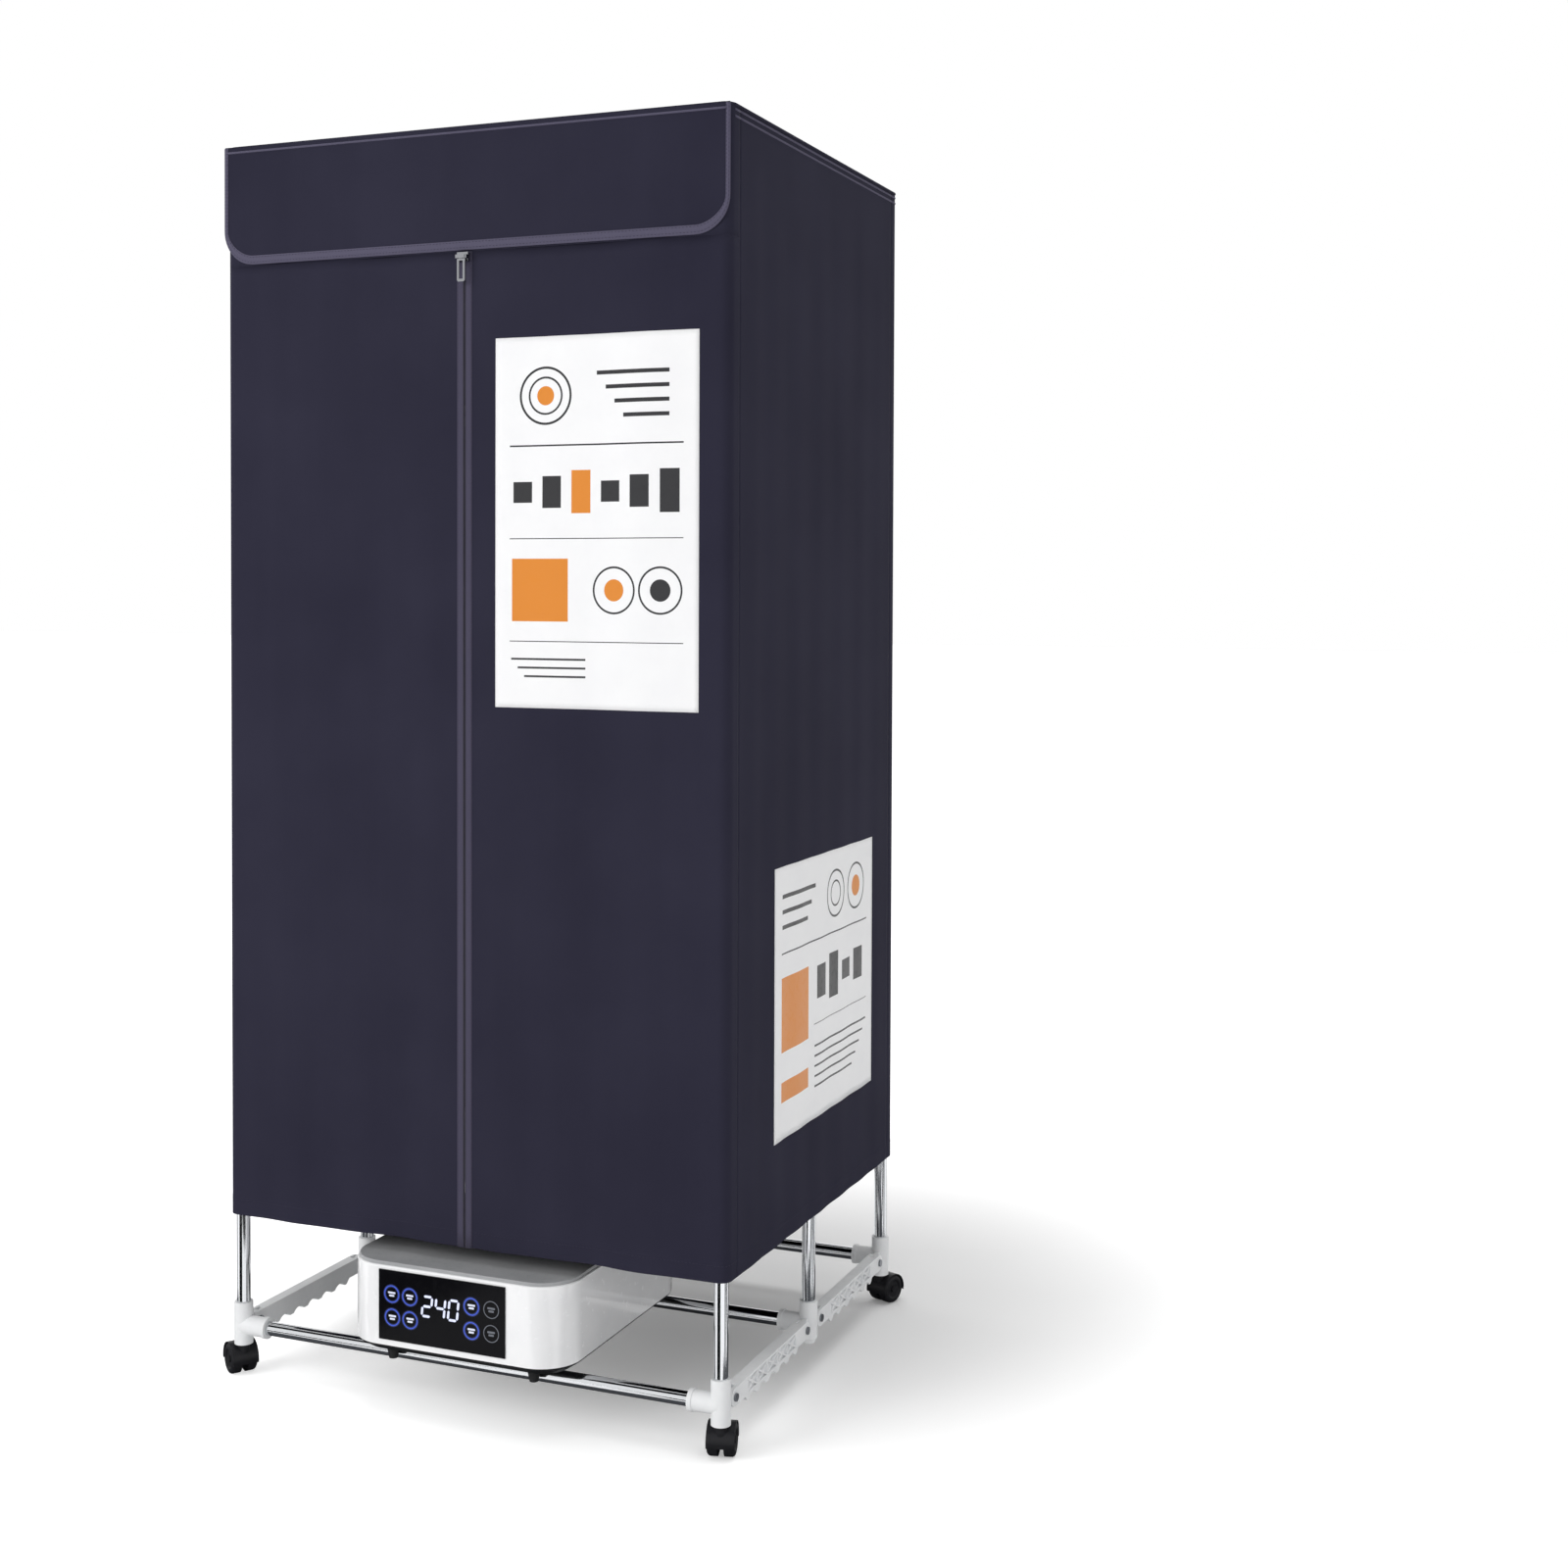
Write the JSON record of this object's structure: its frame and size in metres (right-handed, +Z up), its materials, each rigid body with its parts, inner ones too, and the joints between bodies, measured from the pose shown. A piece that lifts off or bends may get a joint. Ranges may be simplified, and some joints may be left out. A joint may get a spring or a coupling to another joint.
{
  "type": "drying cabinet",
  "caption": "Folding clothes drying cabinet: tube frames on casters with notched folding arms, zipped fabric cover with front flap, and a warm-air unit in its foot.",
  "frame": {"origin": "on the floor, midway between the four corner posts", "axes": "+X to the right seen from the front, +Y to the back, +Z up; the front with the zip and the flap faces -Y"},
  "size_m": [0.6791, 0.6006, 1.4503],
  "materials": {
    "tube_steel": "bright plated steel tube",
    "white_moulding": "milky white moulded plastic, slightly translucent",
    "screw_steel": "plain zinc-plated screws",
    "cover_cloth": "dark blue-violet coated woven cloth, fine weave, low sheen",
    "edge_binding": "grey-violet woven binding tape",
    "zip_tape": "grey-violet zip tape",
    "zip_metal": "nickel-plated zip slider and puller",
    "printed_panel": "white printed panel, satin, no lettering",
    "caster_black": "black moulded plastic",
    "unit_white": "white glossy moulded housing",
    "unit_grey": "light grey satin moulding",
    "unit_black": "black moulded plastic",
    "foot_rubber": "black rubber pads",
    "display_black": "black glossy display window",
    "duct_grey": "heat-resistant grey moulding",
    "heater_metal": "plain aluminium fins",
    "motor_metal": "painted motor case"
  },
  "bodies": {
    "front_frame": {"front_posts": "tube_steel", "front_bottom_tube": "tube_steel", "front_top_tube": "tube_steel", "front_foot_connectors": "white_moulding", "front_top_elbows": "white_moulding", "front_arm_brackets": "white_moulding", "front_pivot_screws": "screw_steel", "cover_header": "cover_cloth", "front_corners": "cover_cloth", "cover_top": "cover_cloth", "cover_side_left": "cover_cloth", "cover_side_right": "cover_cloth", "side_label": "printed_panel"},
    "arms_lower_front": {"lower_front_arms": "white_moulding"},
    "middle_frame": {"middle_posts": "tube_steel", "middle_bottom_tube": "tube_steel", "hanging_rod": "tube_steel", "middle_foot_connectors": "white_moulding", "hanging_rod_connectors": "white_moulding", "middle_pivot_screws": "screw_steel"},
    "arms_lower_rear": {"lower_rear_arms": "white_moulding"},
    "rear_frame": {"rear_posts": "tube_steel", "rear_bottom_tube": "tube_steel", "rear_top_tube": "tube_steel", "rear_foot_connectors": "white_moulding", "rear_top_elbows": "white_moulding", "rear_arm_brackets": "white_moulding", "rear_pivot_screws": "screw_steel", "cover_rear": "cover_cloth"},
    "arms_upper_front": {"upper_front_arms": "white_moulding"},
    "arms_upper_rear": {"upper_rear_arms": "white_moulding"},
    "front_half_right": {"cover_front_right": "cover_cloth", "zip_tape_right": "zip_tape", "front_label": "printed_panel"},
    "front_half_left": {"cover_front_left": "cover_cloth", "zip_tape_left": "zip_tape"},
    "flap": {"front_flap": "cover_cloth", "flap_binding": "edge_binding"},
    "slider": {"zip_slider": "zip_metal"},
    "puller": {"zip_puller": "zip_metal"},
    "warm_air_unit": {"unit_housing": "unit_white", "unit_top_plate": "unit_grey", "unit_base": "unit_black", "unit_feet": "foot_rubber", "control_display": "display_black", "fan_duct": "duct_grey", "heater": "heater_metal", "fan_motor": "motor_metal", "outlet_grille": "unit_grey", "mains_inlet": "unit_black"},
    "fan": {"fan_impeller": "unit_black"},
    "caster_swivel_front_left": {"caster_hood_front_left": "caster_black"},
    "caster_roll_front_left": {"caster_wheels_front_left": "caster_black"},
    "caster_swivel_front_right": {"caster_hood_front_right": "caster_black"},
    "caster_roll_front_right": {"caster_wheels_front_right": "caster_black"},
    "caster_swivel_rear_left": {"caster_hood_rear_left": "caster_black"},
    "caster_roll_rear_left": {"caster_wheels_rear_left": "caster_black"},
    "caster_swivel_rear_right": {"caster_hood_rear_right": "caster_black"},
    "caster_roll_rear_right": {"caster_wheels_rear_right": "caster_black"}
  },
  "joints": [
    {"name": "frame_fold", "type": "hinge", "parent": "front_frame", "child": "arms_lower_front", "pos_m": [0, -0.237, 0.06], "axis": [-1, 0, 0], "range_deg": [-87, 0], "deforming": ["cover_side_left", "cover_side_right", "side_label", "cover_top"]},
    {"name": "middle_frame_fold", "type": "hinge", "parent": "arms_lower_front", "child": "middle_frame", "pos_m": [0, -0.023, 0.06], "axis": [-1, 0, 0], "range_deg": [0, 87]},
    {"name": "lower_rear_arm_fold", "type": "hinge", "parent": "middle_frame", "child": "arms_lower_rear", "pos_m": [0, 0.023, 0.06], "axis": [-1, 0, 0], "range_deg": [0, 87]},
    {"name": "rear_frame_fold", "type": "hinge", "parent": "arms_lower_rear", "child": "rear_frame", "pos_m": [0, 0.237, 0.06], "axis": [-1, 0, 0], "range_deg": [-87, 0]},
    {"name": "upper_front_arm_fold", "type": "hinge", "parent": "front_frame", "child": "arms_upper_front", "pos_m": [0, -0.237, 1.18], "axis": [-1, 0, 0], "range_deg": [-87, 0]},
    {"name": "upper_rear_arm_fold", "type": "hinge", "parent": "middle_frame", "child": "arms_upper_rear", "pos_m": [0, 0.023, 1.18], "axis": [-1, 0, 0], "range_deg": [0, 87]},
    {"name": "unit_drawn_out", "type": "slide", "parent": "front_frame", "child": "warm_air_unit", "axis": [0, -1, 0], "range_m": [0, 0.45]},
    {"name": "front_half_right_open", "type": "hinge", "parent": "front_frame", "child": "front_half_right", "pos_m": [0.298, -0.2723, 0.753], "axis": [0, 0, 1], "range_deg": [0, 100]},
    {"name": "front_half_left_open", "type": "hinge", "parent": "front_frame", "child": "front_half_left", "pos_m": [-0.298, -0.2723, 0.753], "axis": [0, 0, -1], "range_deg": [0, 100]},
    {"name": "flap_lift", "type": "hinge", "parent": "front_frame", "child": "flap", "pos_m": [0, -0.2744, 1.4503], "axis": [-1, 0, 0], "range_deg": [0, 260]},
    {"name": "zip_slide", "type": "slide", "parent": "front_half_right", "child": "slider", "axis": [0, 0, -1], "range_m": [0, 1.06]},
    {"name": "puller_swing", "type": "hinge", "parent": "slider", "child": "puller", "pos_m": [0, -0.2801, 1.305], "axis": [-1, 0, 0], "range_deg": [0, 120]},
    {"name": "fan_spin", "type": "hinge", "parent": "warm_air_unit", "child": "fan", "pos_m": [0, -0.12, 0.115], "axis": [0, 0, 1], "continuous": true},
    {"name": "caster_swivel_front_left", "type": "hinge", "parent": "front_frame", "child": "caster_swivel_front_left", "pos_m": [-0.31, -0.26, 0.045], "axis": [0, 0, 1], "continuous": true},
    {"name": "caster_roll_front_left", "type": "hinge", "parent": "caster_swivel_front_left", "child": "caster_roll_front_left", "pos_m": [-0.31901, -0.25369, 0.018], "axis": [0.5736, 0.8192, 0], "continuous": true},
    {"name": "caster_swivel_front_right", "type": "hinge", "parent": "front_frame", "child": "caster_swivel_front_right", "pos_m": [0.31, -0.26, 0.045], "axis": [0, 0, 1], "continuous": true},
    {"name": "caster_roll_front_right", "type": "hinge", "parent": "caster_swivel_front_right", "child": "caster_roll_front_right", "pos_m": [0.30715, -0.24938, 0.018], "axis": [0.9659, 0.2588, 0], "continuous": true},
    {"name": "caster_swivel_rear_left", "type": "hinge", "parent": "rear_frame", "child": "caster_swivel_rear_left", "pos_m": [-0.31, 0.26, 0.045], "axis": [0, 0, 1], "continuous": true},
    {"name": "caster_roll_rear_left", "type": "hinge", "parent": "caster_swivel_rear_left", "child": "caster_roll_rear_left", "pos_m": [-0.31376, 0.24966, 0.018], "axis": [-0.9397, 0.342, 0], "continuous": true},
    {"name": "caster_swivel_rear_right", "type": "hinge", "parent": "rear_frame", "child": "caster_swivel_rear_right", "pos_m": [0.31, 0.26, 0.045], "axis": [0, 0, 1], "continuous": true},
    {"name": "caster_roll_rear_right", "type": "hinge", "parent": "caster_swivel_rear_right", "child": "caster_roll_rear_right", "pos_m": [0.31376, 0.27034, 0.018], "axis": [0.9397, -0.342, 0], "continuous": true}
  ],
  "couplings": [
    {"joint": "middle_frame_fold", "follows": "frame_fold", "ratio": -1},
    {"joint": "lower_rear_arm_fold", "follows": "frame_fold", "ratio": -1},
    {"joint": "rear_frame_fold", "follows": "frame_fold", "ratio": 1},
    {"joint": "upper_front_arm_fold", "follows": "frame_fold", "ratio": 1},
    {"joint": "upper_rear_arm_fold", "follows": "frame_fold", "ratio": -1},
    {"joint": "unit_drawn_out", "follows": "frame_fold", "m_per_rad": -0.2963},
    {"joint": "front_half_left_open", "follows": "front_half_right_open", "ratio": 1}
  ]
}
